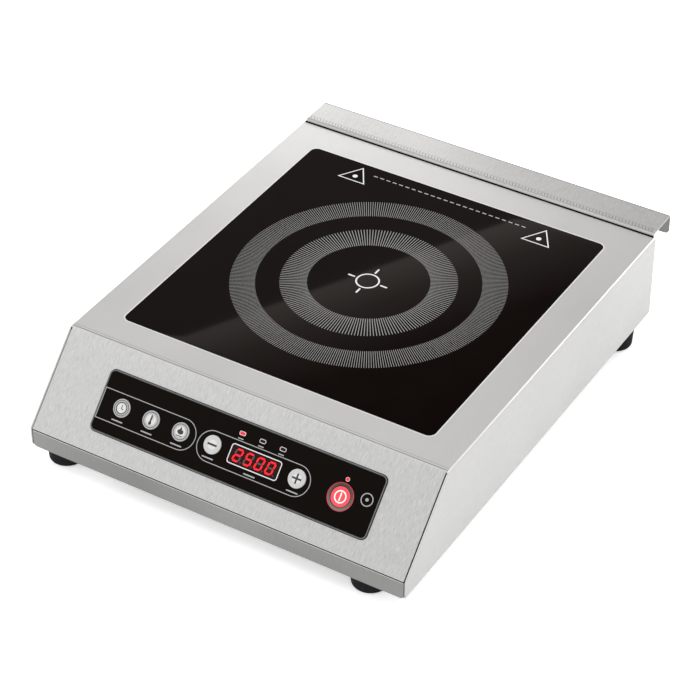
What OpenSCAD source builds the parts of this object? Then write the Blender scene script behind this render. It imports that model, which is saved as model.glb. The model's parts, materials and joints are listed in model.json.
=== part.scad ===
// Countertop induction hob: folded stainless housing over a base pan, glass cooking plate, sloped
// control panel with push buttons, one induction coil, power electronics and two cooling fans.
// X is the width (right positive), Y the depth (rear positive), Z up, feet on Z = 0.

/* [Body] */
// Width of the housing
body_w = 331; // [328:1:345]
// Depth over everything, from the front strip to the rear canopy
overall_d = 425; // [415:1:440]
// Depth of the housing without the canopy
housing_d = 392; // [385:1:400]
// Height of the housing from its underside to the top plate
housing_h = 77; // [76:1:84]
// Horizontal run of the sloped front panel
slope_run = 59; // [57:1:62]
// Drop of the sloped front panel from the top plate to the front strip
slope_drop = 60.5; // [59:0.5:62]
// Thickness of the stainless sheet
sheet = 1.2; // [1:0.1:1.4]
// Outer bend radius between the top plate and the slope
crease_r = 3; // [2:0.5:4]
// Outer bend radius between the top plate and the sides
side_bend_r = 2; // [1.6:0.2:3]
// Outer bend radius along the bottom of the sides
bottom_bend_r = 3; // [2.8:0.1:4]
// Width of the flanges turned in under the base pan
bottom_flange = 62; // [60:1:62]

/* [Feet] */
// Height of the rubber feet
foot_h = 18; // [15:1:22]
// Radius of the rubber feet
foot_r = 15.5; // [14:0.5:17]
// Distance of the left feet and the rear right foot from the middle plane
foot_x = 148; // [145:0.5:149]
// Distance of the front right foot from the middle plane
front_right_foot_x = 124; // [120:0.5:126]
// Distance of the front foot centres from the front
foot_front = 21; // [19.5:0.5:26]
// Distance of the rear foot centres from the rear of the housing
foot_rear = 24; // [21:1:30]

/* [Cooking plate] */
// Width of the glass
glass_w = 272.8; // [268:0.2:276]
// Depth of the glass
glass_d = 277.8; // [272:0.2:282]
// Thickness of the glass
glass_t = 4; // [4:0.5:4.5]
// Corner radius of the glass
glass_r = 6; // [4:1:10]
// Distance from the slope's bend to the glass
glass_setback = 26.2; // [24:0.2:30]
// Width of the silicone bead round the glass
bead_w = 1.1; // [0.8:0.1:1.4]

/* [Control panel] */
// Width of the panel over its bezel
panel_w = 242.5; // [238:0.5:246]
// Height of the panel over its bezel, along the slope
panel_h = 49.2; // [47:0.2:51]
// Sideways offset of the panel from the middle
panel_x = 3.3; // [0:0.1:6]
// Distance of the panel's middle from the slope's bend, along the slope
panel_down = 43.6; // [42:0.2:46]
// Width of the bezel round the panel
bezel_w = 1.3; // [1:0.1:1.6]
// Radius of the grey push buttons
button_r = 7.2; // [6.8:0.1:7.4]
// Radius of the on/off button
on_off_r = 7.8; // [7.2:0.1:7.8]
// Outer radius of the ring round the on/off button
on_off_ring_r = 10.7; // [10:0.1:11]
// Travel of the buttons
button_travel = 0.8; // [0.6:0.1:0.8]

/* [Rear canopy] */
// Width of the canopy
canopy_w = 327; // [325:1:331]
// Height of the canopy's top above the top plate
canopy_rise = 2.5; // [2:0.5:4]
// Depth of the canopy's down-turned lip
canopy_lip = 18; // [14:1:20]

/* [Coil and fans] */
// Outer radius of the coil former
former_r = 104; // [100:1:108]
// Size of the square fan frames
fan_size = 92; // [92:1:94]
// Distance of the fan centres from the middle plane
fan_x = 62; // [60:1:64]
// Number of blades on each rotor
blade_count = 7; // [5:1:9]

/* [Hidden] */
$fn = 48;

// Overrun of a cutter past the face that it cuts
eps = 1;
// Working gap between pieces that lie side by side
gap = 0.2;

// Main planes
y_front = -overall_d / 2;
y_rear = y_front + housing_d;
y_crease = y_front + slope_run;
z_under = foot_h;
z_top = foot_h + housing_h;
z_strip = z_top - slope_drop;
half_w = body_w / 2;
inner_w = half_w - sheet;
slope_ang = atan2(slope_drop, slope_run);
slope_len = norm([slope_run, slope_drop]);

// Feet, as [x, y]
foot_front_y = y_front + foot_front;
foot_rear_y = y_rear - foot_rear;
foot_at = [
    [-foot_x, foot_front_y], [front_right_foot_x, foot_front_y], [-foot_x, foot_rear_y],
    [foot_x, foot_rear_y]
];

// Glass
glass_y = y_crease + glass_setback + glass_d / 2;
glass_bottom = z_top - glass_t;

// Base pan floor
floor_low = z_under + sheet;
floor_z = floor_low + sheet;
pan_side_top = 33;
pan_clear = 0.2;
strip_seam = 1.1;
strip_side_seam = 0.7;
strip_r = 3;
slit_w = 1;
rear_corner_r = 7;

// Rear panel and canopy
rear_t = 1;
rear_panel_top = z_top - 6;
side_over = rear_t + sheet;
rear_flange_z = 74;
canopy_y = y_rear + rear_t;
canopy_end = overall_d / 2;
canopy_top = z_top + canopy_rise;
canopy_flange_z = 76;
canopy_bend_r = 3;
lip_bend_r = 1.8;
canopy_fix_x = [-140, -48, 48, 140];
canopy_fix_z = 83;
panel_fix_x = [-140, 0, 140];
panel_fix_z = 28;

// Places along the slope, as [across, down]
timer_at = [-97.7, 44.7];
temp_at = [-71, 44.7];
power_at = [-44.4, 44.7];
down_at = [-16.1, 44.7];
up_at = [57.5, 44.7];
on_off_at = [94.7, 45.1];
led_at = [[3.8, 28.7], [21.3, 28.7], [38.8, 28.7]];
dot_at = [95.1, 31.5];
display_at = [20.8, 45];
display_size = [42.6, 14.2];
led_size = [4.2, 2];
dot_r = 1.2;
key_places = [timer_at, temp_at, power_at, down_at, up_at];
all_keys = concat(key_places, [on_off_at]);

// Heights above and below the slope's outer face
bezel_proud = 0.9;
overlay_proud = 0.7;
button_proud = 1.2;
cap_bottom = -1.8;
carrier_top = -3.4;
carrier_bottom = -5;
guide_bottom = -8;
stem_bottom = -10.6;
board_top = -16;
board_bottom = -17.6;
switch_top = -12.5;
plunger_top = stem_bottom - button_travel - 0.3;
stem_r = 2.4;
stem_clear = 0.08;
button_clear = 0.4;
control_w = 230;
control_h = 44;
post_x = 109;
post_y = 17.5;

// Coil stack
ring_y = glass_y + 0.1;
former_low = 82;
former_high = 85;
coil_in_r = 22;
coil_out_r = 97;
coil_turns = 18;
coil_high = 90;
hub_in_r = 16;
bracket_z = 66;
bracket_t = 1.5;
bracket_x = 116;
bracket_half_y = 42;
spring_ring_r = 34;

// Power board
board_x = [-112, 88];
board_y = [-146, -16];
standoff_h = 10.6;
pcb_t = 1.6;
pcb_low = floor_z + standoff_h;
pcb_z = pcb_low + pcb_t;
standoff_inset = 6;
sink_x = [-100, 0];
sink_back = -41;
sink_plate = 5;
sink_front = -92;
sink_low = pcb_z + 1.5;
sink_high = 72;
fin_count = 12;

// Fans
fan_y = 96;
fan_h = 25;
fan_bore_r = 43.5;
rotor_r = 41.5;
hub_r = 17;
shaft_r = 1.5;
shaft_clear = 0.06;
fan_hole = 41.25;

// Gland, terminal block and earth stud
gland_x = -128;
gland_z = 52;
cable_r = 4.5;
block_at = [-136, 112];
earth_at = [-139, 62];

// Wire routes, hand-chosen points in the housing
live_route = [
    [-147, 106, 31.4], [-147, 97, 31], [-147, 84, 28], [-147, 62, 25], [-146, 40, 25], [-143, 16, 26],
    [-137, -6, 27], [-133, -22, 31], [-124, -38, 37], [-113, -46, 41], [-106, -46, 39], [-106, -46, 33.4]
];
neutral_route = [
    [-136, 106, 31.4], [-136, 97, 31], [-133, 86, 28], [-128, 74, 25], [-127, 56, 24.5], [-130, 36, 24.5],
    [-131, 16, 25], [-130, -4, 26], [-125, -20, 30], [-117, -30, 37], [-106, -36, 39], [-106, -36, 33.4]
];
coil_start_route = [
    [-4, -72, 79.6], [0, -84, 79], [10, -96, 76], [22, -96, 67], [36, -88, 54], [44, -76, 44],
    [46, -70, 39], [46, -70, 33.4]
];
coil_end_route = [
    [8, -72, 79.6], [12, -86, 78.6], [24, -97, 75], [38, -97, 66], [50, -88, 54], [58, -76, 44],
    [60, -70, 39], [60, -70, 33.4]
];

// Helpers

module rounded_rect(w, h, r) {
    square([w - 2 * r, h], center = true);
    square([w, h - 2 * r], center = true);
    for (sx = [-1, 1], sy = [-1, 1])
        translate([sx * (w / 2 - r), sy * (h / 2 - r)])
            circle(r = r);
}

module rounded_plate(w, h, r, low, high) {
    translate([0, 0, low])
        linear_extrude(high - low)
            rounded_rect(w, h, r);
}

// A rectangular ring, from an outer and an inner rounded rectangle
module rounded_ring(outer, outer_r, inner, inner_r, low, high) {
    translate([0, 0, low])
        linear_extrude(high - low)
            difference() {
                rounded_rect(outer[0], outer[1], outer_r);
                rounded_rect(inner[0], inner[1], inner_r);
            }
}

// A box from its low and high corners
module span(low, high) {
    translate(low)
        cube(high - low);
}

// A 2-D profile in (y, z), extruded from x = -half to x = +half
module across(half) {
    rotate([90, 0, 90])
        translate([0, 0, -half])
            linear_extrude(2 * half)
                children();
}

// A 2-D profile in (x, z), extruded from y = low to y = high
module along(low, high) {
    translate([0, high, 0])
        rotate([90, 0, 0])
            linear_extrude(high - low)
                children();
}

// The slope's own frame: X across, Y up the slope, Z out of its face
module on_slope(at = [0, 0]) {
    translate([0, y_crease, z_top])
        rotate([slope_ang, 0, 0])
            translate([at[0], -at[1], 0])
                children();
}

module tube(r_out, r_in, low, high) {
    translate([0, 0, low])
        difference() {
            cylinder(r = r_out, h = high - low);
            translate([0, 0, -eps])
                cylinder(r = r_in, h = high - low + 2 * eps);
        }
}

module rod(r, low, high) {
    translate([0, 0, low])
        cylinder(r = r, h = high - low);
}

// A pan-head screw, with its head's underside at the origin and its shank along -Z
module pan_screw(shank_r, head_r, head_h, shank_len) {
    difference() {
        rotate_extrude()
            polygon([
                [0, -shank_len], [shank_r, -shank_len], [shank_r, 0], [head_r, 0],
                [head_r, head_h * 0.55], [head_r * 0.8, head_h * 0.9], [head_r * 0.5, head_h],
                [0, head_h]
            ]);
        for (turn = [0, 90])
            rotate([0, 0, turn])
                translate([-head_r * 0.55, -head_r * 0.12, head_h * 0.45])
                    cube([head_r * 1.1, head_r * 0.24, head_h]);
    }
}

function arc(centre, r, from, to, steps) = [
    for (i = [0:steps])
        let(a = from + (to - from) * i / steps)
            [centre[0] + r * cos(a), centre[1] + r * sin(a)]
];

function unit(v) = v / norm(v);

function tangent(path, i) = unit(path[min(i + 1, len(path) - 1)] - path[max(i - 1, 0)]);

// Catmull-Rom curve through hand-chosen points
function curve_point(a, b, c, d, t) =
    ((2 * b) + (c - a) * t + (2 * a - 5 * b + 4 * c - d) * t * t
    + (3 * b - a - 3 * c + d) * t * t * t) / 2;

function smooth(points, steps) = concat(
    [
        for (i = [0:len(points) - 2], s = [0:steps - 1])
            curve_point(
                points[max(i - 1, 0)], points[i], points[i + 1],
                points[min(i + 2, len(points) - 1)], s / steps
            )
    ],
    [points[len(points) - 1]]
);

function ring_points(path, i, r, sides, side_hint) =
    let(
        t = tangent(path, i),
        u = unit(cross(t, side_hint)),
        v = cross(t, u)
    )
    [for (k = [0:sides - 1]) path[i] + r * cos(360 * k / sides) * u + r * sin(360 * k / sides) * v];

// A round wire swept along a path; side_hint is a direction that the path never takes
module wire(path, r, sides, side_hint) {
    rings = len(path);
    points = [for (i = [0:rings - 1]) each ring_points(path, i, r, sides, side_hint)];
    walls = [
        for (i = [0:rings - 2], k = [0:sides - 1])
            let(next = (k + 1) % sides)
                each [
                    [i * sides + k, (i + 1) * sides + k, (i + 1) * sides + next],
                    [i * sides + k, (i + 1) * sides + next, i * sides + next]
                ]
    ];
    start_cap = [for (k = [0:sides - 1]) k];
    end_cap = [for (k = [sides - 1:-1:0]) (rings - 1) * sides + k];
    polyhedron(points, concat([start_cap, end_cap], walls));
}

// Sheet-metal outlines

crease_centre = [y_crease + crease_r * tan(slope_ang / 2), z_top - crease_r];

// Side view of the housing's outer skin
module housing_outline() {
    polygon(concat(
        arc([y_front + 2, z_under + 2], 2, 180, 270, 4),
        arc([y_rear + side_over - rear_corner_r, z_under + rear_corner_r], rear_corner_r, 270, 360, 6),
        [[y_rear + side_over, z_top]],
        arc(crease_centre, crease_r, 90, 90 + slope_ang, 6),
        [[y_front, z_strip]]
    ));
}

// Side view of the space inside the skin, running out at the front strip, the bottom and the rear
module housing_void() {
    inner_end = [y_front + sheet * sin(slope_ang), z_strip - sheet * cos(slope_ang)];
    outer_end = [y_front - eps * sin(slope_ang), z_strip + eps * cos(slope_ang)];
    polygon(concat(
        [[y_front - eps, z_under - eps], [y_rear + eps, z_under - eps], [y_rear + eps, z_top - sheet]],
        arc(crease_centre, crease_r - sheet, 90, 90 + slope_ang, 6),
        [inner_end, outer_end]
    ));
}

// Front view of the housing, bent at the top and the bottom, inset by the sheet for its inside
module housing_section(inset) {
    w = half_w - inset;
    low = z_under + inset;
    high = z_top - inset;
    top_r = side_bend_r - inset;
    low_r = bottom_bend_r - inset;
    polygon(concat(
        arc([w - top_r, high - top_r], top_r, 0, 90, 5),
        arc([-w + top_r, high - top_r], top_r, 90, 180, 5),
        arc([-w + low_r, low + low_r], low_r, 180, 270, 6),
        arc([w - low_r, low + low_r], low_r, 270, 360, 6)
    ));
}

// A slot with round ends, through the base pan or the rear panel
module slot(length, width) {
    square([length - width, width], center = true);
    for (side = [-1, 1])
        translate([side * (length - width) / 2, 0])
            circle(r = width / 2, $fn = 24);
}

// Housing

module top_housing() {
    color([0.80, 0.80, 0.79])
        difference() {
            intersection() {
                across(half_w + eps)
                    housing_outline();
                along(y_front - eps, y_rear + side_over + eps)
                    housing_section(0);
            }
            intersection() {
                across(half_w + eps)
                    housing_void();
                along(y_front - 3 * eps, y_rear - sheet)
                    housing_section(sheet);
            }
            span([-half_w + bottom_flange, y_front - eps, z_under - eps],
                 [half_w - bottom_flange, y_rear + eps, floor_low + eps]);
            span([-inner_w, y_front - eps, z_under - eps], [inner_w, y_front + sheet + 0.3, z_strip - 2]);
            span([-inner_w, y_rear - sheet - eps, z_under - eps], [inner_w, y_rear + eps, rear_flange_z]);
            span([-inner_w, y_rear, z_under - eps], [inner_w, y_rear + side_over + eps, z_top + eps]);
            translate([0, glass_y, 0])
                rounded_plate(glass_w + 2 * bead_w, glass_d + 2 * bead_w, glass_r + bead_w,
                              glass_bottom, z_top + eps);
            on_slope([panel_x, panel_down])
                rounded_plate(panel_w - 2 * bezel_w, panel_h - 2 * bezel_w, 3.5, -sheet - eps, eps);
            for (side = [-1, 1])
                on_slope()
                    translate([side * (inner_w - slit_w / 2) - slit_w / 2, -slope_len - eps, -sheet - 0.1])
                        cube([slit_w, slope_len + eps - 1.2, sheet + eps]);
            foot_places()
                rod(2.6, z_under - eps, floor_low + eps);
            base_screw_places()
                rod(2.2, -eps, sheet + eps);
            for (x = canopy_fix_x)
                translate([x, y_rear, canopy_fix_z])
                    rotate([90, 0, 0])
                        rod(2, -eps, sheet + eps);
        }
}

module foot_places() {
    for (place = foot_at)
        translate([place[0], place[1], 0])
            children();
}

module base_screw_places() {
    for (x = [-151, 151], y = [-120, 20, 130])
        translate([x, y, z_under])
            children();
}

// Front view of the base pan's trough
module pan_section(inset) {
    w = inner_w - pan_clear - inset;
    low = floor_low + inset;
    r = bottom_bend_r - sheet - pan_clear - inset;
    polygon(concat(
        [[w, pan_side_top + inset], [-w, pan_side_top + inset]],
        arc([-w + r, low + r], r, 180, 270, 6),
        arc([w - r, low + r], r, 270, 360, 6)
    ));
}

// Slots under one fan, cut to a circle
module intake_slots() {
    reach = fan_bore_r - 3;
    for (row = [-5:5])
        translate([0, row * 7.2])
            slot(2 * sqrt(reach * reach - pow(row * 7.2, 2)), 3.6);
}

module base_pan() {
    strip_w = inner_w - strip_side_seam;
    color([0.62, 0.62, 0.61])
        difference() {
            union() {
                difference() {
                    along(y_front + sheet, y_rear - pan_clear)
                        pan_section(0);
                    along(y_front + sheet - eps, y_rear - pan_clear - sheet)
                        pan_section(sheet);
                    span([-inner_w, y_rear - sheet - eps, pan_side_top - 0.01],
                         [inner_w, y_rear + eps, z_top]);
                }
                along(y_front, y_front + sheet)
                    polygon(concat(
                        [[strip_w, z_strip - strip_seam], [-strip_w, z_strip - strip_seam]],
                        arc([-strip_w + strip_r, z_under + strip_r], strip_r, 180, 270, 6),
                        arc([strip_w - strip_r, z_under + strip_r], strip_r, 270, 360, 6)
                    ));
                span([-inner_w + 6, y_front + sheet, z_strip - strip_seam - sheet - 1.6],
                     [inner_w - 6, y_front + 7, z_strip - strip_seam - 1.6]);
            }
            for (side = [-1, 1])
                translate([side * fan_x, fan_y, floor_low - eps])
                    linear_extrude(sheet + 2 * eps)
                        intake_slots();
            for (x = [-70:14:70])
                translate([x, -186, floor_low - eps])
                    linear_extrude(sheet + 2 * eps)
                        rotate([0, 0, 90])
                            slot(22, 3.6);
            foot_places()
                rod(2.6, floor_low - eps, floor_z + eps);
            base_screw_places()
                rod(2.2, 0, 2 * sheet + eps);
            for (x = panel_fix_x)
                translate([x, y_rear, panel_fix_z])
                    rotate([90, 0, 0])
                        rod(2, -eps, sheet + pan_clear + eps);
        }
}

module rear_panel() {
    w = inner_w - gap;
    low = z_under + gap;
    high = rear_panel_top;
    r = bottom_bend_r - 0.5;
    color([0.74, 0.74, 0.73])
        difference() {
            along(y_rear, y_rear + rear_t)
                polygon(concat(
                    [[w, high], [-w, high]],
                    arc([-w + r, low + r], r, 180, 270, 6),
                    arc([w - r, low + r], r, 270, 360, 6)
                ));
            along(y_rear - eps, y_rear + rear_t + eps)
                for (i = [0:27])
                    translate([-84 + i * 8, 54])
                        rotate([0, 0, 90])
                            slot(30, 3.6);
            translate([gland_x, y_rear + rear_t, gland_z])
                rotate([90, 0, 0])
                    rod(8.2, -eps, rear_t + eps);
            for (x = canopy_fix_x)
                translate([x, y_rear + rear_t, canopy_fix_z])
                    rotate([90, 0, 0])
                        rod(2, -eps, rear_t + eps);
            for (x = panel_fix_x)
                translate([x, y_rear + rear_t, panel_fix_z])
                    rotate([90, 0, 0])
                        rod(2, -eps, rear_t + eps);
        }
}

// Side view of the canopy: a flange on the rear panel, a shelf and a down-turned lip
module canopy_profile() {
    front = [canopy_y + canopy_bend_r, canopy_top - canopy_bend_r];
    back = [canopy_end - lip_bend_r, canopy_top - lip_bend_r];
    polygon(concat(
        [[canopy_y, canopy_flange_z]],
        arc(front, canopy_bend_r, 180, 90, 6),
        arc(back, lip_bend_r, 90, 0, 5),
        [[canopy_end, canopy_top - canopy_lip], [canopy_end - sheet, canopy_top - canopy_lip]],
        arc(back, lip_bend_r - sheet, 0, 90, 3),
        arc(front, canopy_bend_r - sheet, 90, 180, 4),
        [[canopy_y + sheet, canopy_flange_z]]
    ));
}

module rear_canopy() {
    corner_r = 3.5;
    color([0.78, 0.78, 0.77])
        difference() {
            across(canopy_w / 2)
                canopy_profile();
            for (side = [-1, 1])
                translate([side * half_w, 0, 0])
                    span([-sheet - gap, canopy_y - eps, canopy_flange_z - eps],
                         [sheet + gap, canopy_y + sheet + gap, z_top + 0.3]);
            for (side = [-1, 1])
                translate([side * canopy_w / 2, 0, canopy_top - canopy_lip])
                    along(canopy_end - sheet - eps, canopy_end + eps)
                        difference() {
                            square(2 * corner_r, center = true);
                            translate([-side * corner_r, corner_r])
                                circle(r = corner_r);
                        }
            for (x = canopy_fix_x)
                translate([x, canopy_y + sheet, canopy_fix_z])
                    rotate([90, 0, 0])
                        rod(2, -eps, sheet + eps);
        }
}

// Glass cooking plate

module glass_plate() {
    color([0.07, 0.06, 0.06])
        translate([0, glass_y, 0])
            rounded_plate(glass_w, glass_d, glass_r, glass_bottom, z_top);
}

module glass_sealant() {
    color([0.88, 0.88, 0.87])
        translate([0, glass_y, 0])
            rounded_ring([glass_w + 2 * bead_w, glass_d + 2 * bead_w], glass_r + bead_w,
                         [glass_w, glass_d], glass_r, z_top - sheet, z_top + 0.15);
}

// Joggled frame welded under the top plate, with a ledge that carries the glass
module glass_frame() {
    web = [glass_w + 2 * bead_w + 4.8, glass_d + 2 * bead_w + 4.8];
    web_in = web - [2 * sheet, 2 * sheet];
    ledge_in = [glass_w - 16, glass_d - 16];
    brim = web + [20, 20];
    color([0.66, 0.67, 0.68])
        translate([0, glass_y, 0]) {
            rounded_ring(web, 9, ledge_in, 5, glass_bottom - sheet, glass_bottom);
            rounded_ring(web, 9, web_in, 8, glass_bottom - 0.01, z_top - sheet);
            rounded_ring(brim, 12, web_in, 8, z_top - 2 * sheet, z_top - sheet);
        }
}

// Control panel

module panel_bezel() {
    color([0.32, 0.32, 0.32])
        on_slope([panel_x, panel_down])
            rounded_ring([panel_w, panel_h], 4.8,
                         [panel_w - 2 * bezel_w, panel_h - 2 * bezel_w], 3.5, 0, bezel_proud);
}

module control_overlay() {
    color([0.04, 0.04, 0.04])
        difference() {
            on_slope([panel_x, panel_down])
                rounded_plate(panel_w - 2 * bezel_w - 2 * gap, panel_h - 2 * bezel_w - 2 * gap, 3.3,
                              -sheet, overlay_proud);
            for (place = key_places)
                on_slope(place)
                    rod(button_r + button_clear, -sheet - eps, overlay_proud + eps);
            on_slope(on_off_at)
                rod(on_off_r + 1.9, -sheet - eps, overlay_proud + eps);
            on_slope(display_at)
                rounded_plate(display_size[0], display_size[1], 2, -sheet - eps, overlay_proud + eps);
            for (place = led_at)
                on_slope(place)
                    rounded_plate(led_size[0] + 0.4, led_size[1] + 0.4, 0.7,
                                  -sheet - eps, overlay_proud + eps);
            on_slope(dot_at)
                rod(dot_r + 0.2, -sheet - eps, overlay_proud + eps);
        }
}

module display_window() {
    color([0.16, 0.04, 0.04])
        on_slope(display_at)
            rounded_plate(display_size[0] - 2 * gap, display_size[1] - 2 * gap, 1.8,
                          -sheet, overlay_proud - 0.15);
}

// A button: a cap with a soft edge and a stem that slides in the carrier's guide
module push_button(place, r, tint) {
    color(tint)
        on_slope(place)
            rotate_extrude()
                polygon(concat(
                    [[0, stem_bottom], [stem_r, stem_bottom], [stem_r, cap_bottom], [r, cap_bottom]],
                    arc([r - 0.5, button_proud - 0.5], 0.5, 0, 90, 4),
                    [[r * 0.5, button_proud - 0.06], [0, button_proud - 0.12]]
                ));
}

module on_off_ring() {
    color([0.2, 0.2, 0.21])
        on_slope(on_off_at) {
            tube(on_off_r + 1.7, on_off_r + button_clear, -sheet, overlay_proud + 0.01);
            tube(on_off_ring_r, on_off_r + button_clear, overlay_proud, overlay_proud + 0.5);
        }
}

// Moulded tray behind the panel: rim, plate and one guide for each button stem
module button_carrier() {
    color([0.25, 0.26, 0.27])
        difference() {
            union() {
                on_slope([panel_x, panel_down]) {
                    rounded_plate(panel_w + 4, panel_h + 3, 5, carrier_bottom, carrier_top);
                    rounded_ring([panel_w + 4, panel_h + 3], 5, [panel_w - 7, panel_h - 7], 3,
                                 carrier_top - 0.01, -sheet);
                    for (x = [-post_x, post_x], y = [-post_y, post_y])
                        translate([x, y, 0])
                            rod(3, board_top, carrier_bottom + 0.01);
                }
                for (place = all_keys)
                    on_slope(place)
                        rod(4.5, guide_bottom, carrier_bottom + 0.01);
            }
            for (place = all_keys)
                on_slope(place)
                    rod(stem_r + stem_clear, guide_bottom - eps, carrier_top + eps);
            on_slope(display_at)
                rounded_plate(display_size[0] + 0.6, display_size[1] + 0.6, 2,
                              carrier_bottom - eps, carrier_top + eps);
            for (place = led_at)
                on_slope(place)
                    rounded_plate(led_size[0] + 1, led_size[1] + 1, 0.7,
                                  carrier_bottom - eps, carrier_top + eps);
            on_slope(dot_at)
                rod(dot_r + 0.5, carrier_bottom - eps, carrier_top + eps);
            on_slope([panel_x, panel_down])
                for (x = [-post_x, post_x], y = [-post_y, post_y])
                    translate([x, y, 0])
                        rod(1.5, board_top - eps, board_top + 7);
        }
}

module control_board() {
    color([0.08, 0.3, 0.16])
        difference() {
            on_slope([panel_x, panel_down])
                rounded_plate(control_w, control_h, 2, board_bottom, board_top);
            on_slope([panel_x, panel_down])
                for (x = [-post_x, post_x], y = [-post_y, post_y])
                    translate([x, y, 0])
                        rod(1.7, board_bottom - eps, board_top + eps);
        }
}

module tact_switches() {
    color([0.15, 0.15, 0.16])
        for (place = all_keys)
            on_slope(place) {
                rounded_plate(6, 6, 0.5, board_top, switch_top);
                rod(1.6, switch_top - 0.01, plunger_top);
            }
}

module display_module() {
    color([0.85, 0.85, 0.83])
        on_slope(display_at)
            rounded_plate(display_size[0] - 1, display_size[1] - 1, 1, board_top, -sheet);
}

module indicator_leds() {
    color([0.9, 0.12, 0.1]) {
        for (place = led_at)
            on_slope(place)
                rounded_plate(led_size[0], led_size[1], 0.5, board_top, overlay_proud - 0.05);
        on_slope(dot_at)
            rod(dot_r, board_top, overlay_proud - 0.05);
    }
}

module buzzer() {
    color([0.06, 0.06, 0.06])
        on_slope([-58, panel_down])
            tube(6, 1, board_bottom - 7.6, board_bottom);
}

module control_screws() {
    color([0.7, 0.7, 0.72])
        on_slope([panel_x, panel_down])
            for (x = [-post_x, post_x], y = [-post_y, post_y])
                translate([x, y, board_bottom])
                    rotate([180, 0, 0])
                        pan_screw(1.4, 2.8, 1.8, 7.5);
}

// Flat cable from the control board to the power board
module ribbon_cable() {
    run = [-178.5, -140.5];
    path = [
        for (i = [0:12])
            let(t = i / 12, drop = (1 - cos(180 * t)) / 2)
                [run[0] + (run[1] - run[0]) * t, 39 - 4.4 * drop - 4 * sin(180 * t)]
    ];
    thick = 1.2;
    color([0.72, 0.72, 0.74]) {
        translate([40, 0, 0]) {
            across(12)
                polygon(concat(path, [for (i = [12:-1:0]) path[i] + [0, thick]]));
            span([-14, -144, pcb_z], [14, -137, pcb_z + 6]);
        }
        on_slope([40, 57])
            rounded_plate(28, 7, 0.5, board_bottom - 6, board_bottom);
    }
}

// Feet, screws and gland

module feet() {
    color([0.06, 0.06, 0.065])
        foot_places()
            rotate_extrude()
                polygon(concat(
                    [[5, 5], [5, 0.8], [6, 0]],
                    arc([foot_r - 3, 2.2], 2.2, 270, 350, 5),
                    [[foot_r, z_under - 3], [foot_r, z_under], [2.6, z_under], [2.6, 5]]
                ));
}

module foot_screws() {
    color([0.7, 0.7, 0.72])
        foot_places() {
            translate([0, 0, 5])
                rotate([180, 0, 0])
                    pan_screw(2.4, 4.4, 2.6, floor_z + 2.5);
            rotate([0, 0, 30])
                translate([0, 0, floor_z])
                    difference() {
                        cylinder(r = 4.6, h = 4, $fn = 6);
                        translate([0, 0, -eps])
                            cylinder(r = 2.45, h = 6);
                    }
        }
}

module base_screws() {
    color([0.7, 0.7, 0.72])
        base_screw_places()
            rotate([180, 0, 0])
                pan_screw(2, 3.8, 2.4, 9);
}

module rear_screws() {
    color([0.7, 0.7, 0.72]) {
        for (x = canopy_fix_x)
            translate([x, canopy_y + sheet, canopy_fix_z])
                rotate([-90, 0, 0])
                    pan_screw(1.9, 3.8, 2.2, 9);
        for (x = panel_fix_x)
            translate([x, y_rear + rear_t, panel_fix_z])
                rotate([-90, 0, 0])
                    pan_screw(1.9, 3.8, 2.2, 7);
    }
}

// Round cable gland with a collar and a dome cap, bored for the supply cable
module cable_gland() {
    color([0.09, 0.09, 0.1])
        translate([gland_x, y_rear + rear_t, gland_z])
            rotate([-90, 0, 0])
                rotate_extrude()
                    polygon([
                        [cable_r, -10], [8, -10], [8, 0], [12.5, 0], [12.5, 4], [11, 5], [11, 15],
                        [9.5, 18.5], [7, 20.5], [cable_r, 21]
                    ]);
}

module gland_nut() {
    color([0.09, 0.09, 0.1])
        translate([gland_x, y_rear, gland_z])
            rotate([90, 0, 0])
                difference() {
                    cylinder(r = 13, h = 6, $fn = 6);
                    translate([0, 0, -eps])
                        cylinder(r = 8.1, h = 8);
                }
}

// Coil under the glass

module at_coil() {
    translate([0, ring_y, 0])
        children();
}

module coil_former() {
    color([0.86, 0.84, 0.78])
        at_coil() {
            tube(former_r, hub_in_r, former_low, former_high);
            tube(former_r, former_r - 2, former_high - 0.01, coil_high + 0.5);
            tube(hub_in_r + 2, hub_in_r, former_high - 0.01, coil_high + 0.5);
            for (a = [0:90:270])
                rotate([0, 0, a])
                    translate([spring_ring_r, 0, 0])
                        rod(2.5, bracket_z + bracket_t + 1, former_low + 0.01);
        }
}

// Flat winding, ribbed by its turns
module litz_coil() {
    pitch = (coil_out_r - coil_in_r) / coil_turns;
    ridge = [
        for (i = [coil_turns - 1:-1:0])
            each [
                [coil_in_r + (i + 1) * pitch, coil_high - 1],
                [coil_in_r + (i + 0.5) * pitch, coil_high]
            ]
    ];
    color([0.72, 0.42, 0.2])
        at_coil()
            rotate_extrude()
                polygon(concat(
                    [[coil_in_r, former_high], [coil_out_r, former_high]],
                    ridge,
                    [[coil_in_r, coil_high - 1]]
                ));
}

module ferrite_bars() {
    color([0.13, 0.13, 0.14])
        at_coil()
            for (i = [0:7])
                rotate([0, 0, 22.5 + i * 45])
                    span([37, -7, former_low - 4.2], [95, 7, former_low]);
}

// Four compression springs that press the coil up under the glass
module coil_springs() {
    low = bracket_z + bracket_t + 0.6;
    high = former_low - 0.6;
    turns = 4;
    steps = 12;
    helix = [
        for (i = [0:turns * steps])
            [4 * cos(360 * i / steps), 4 * sin(360 * i / steps), low + (high - low) * i / (turns * steps)]
    ];
    color([0.75, 0.75, 0.77])
        at_coil()
            for (a = [0:90:270])
                rotate([0, 0, a])
                    translate([spring_ring_r, 0, 0])
                        wire(helix, 0.55, 6, [0, 0, 1]);
}

module mica_sheet() {
    color([0.8, 0.76, 0.62])
        at_coil()
            tube(former_r - 1, 12, coil_high + 0.5, glass_bottom);
}

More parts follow.
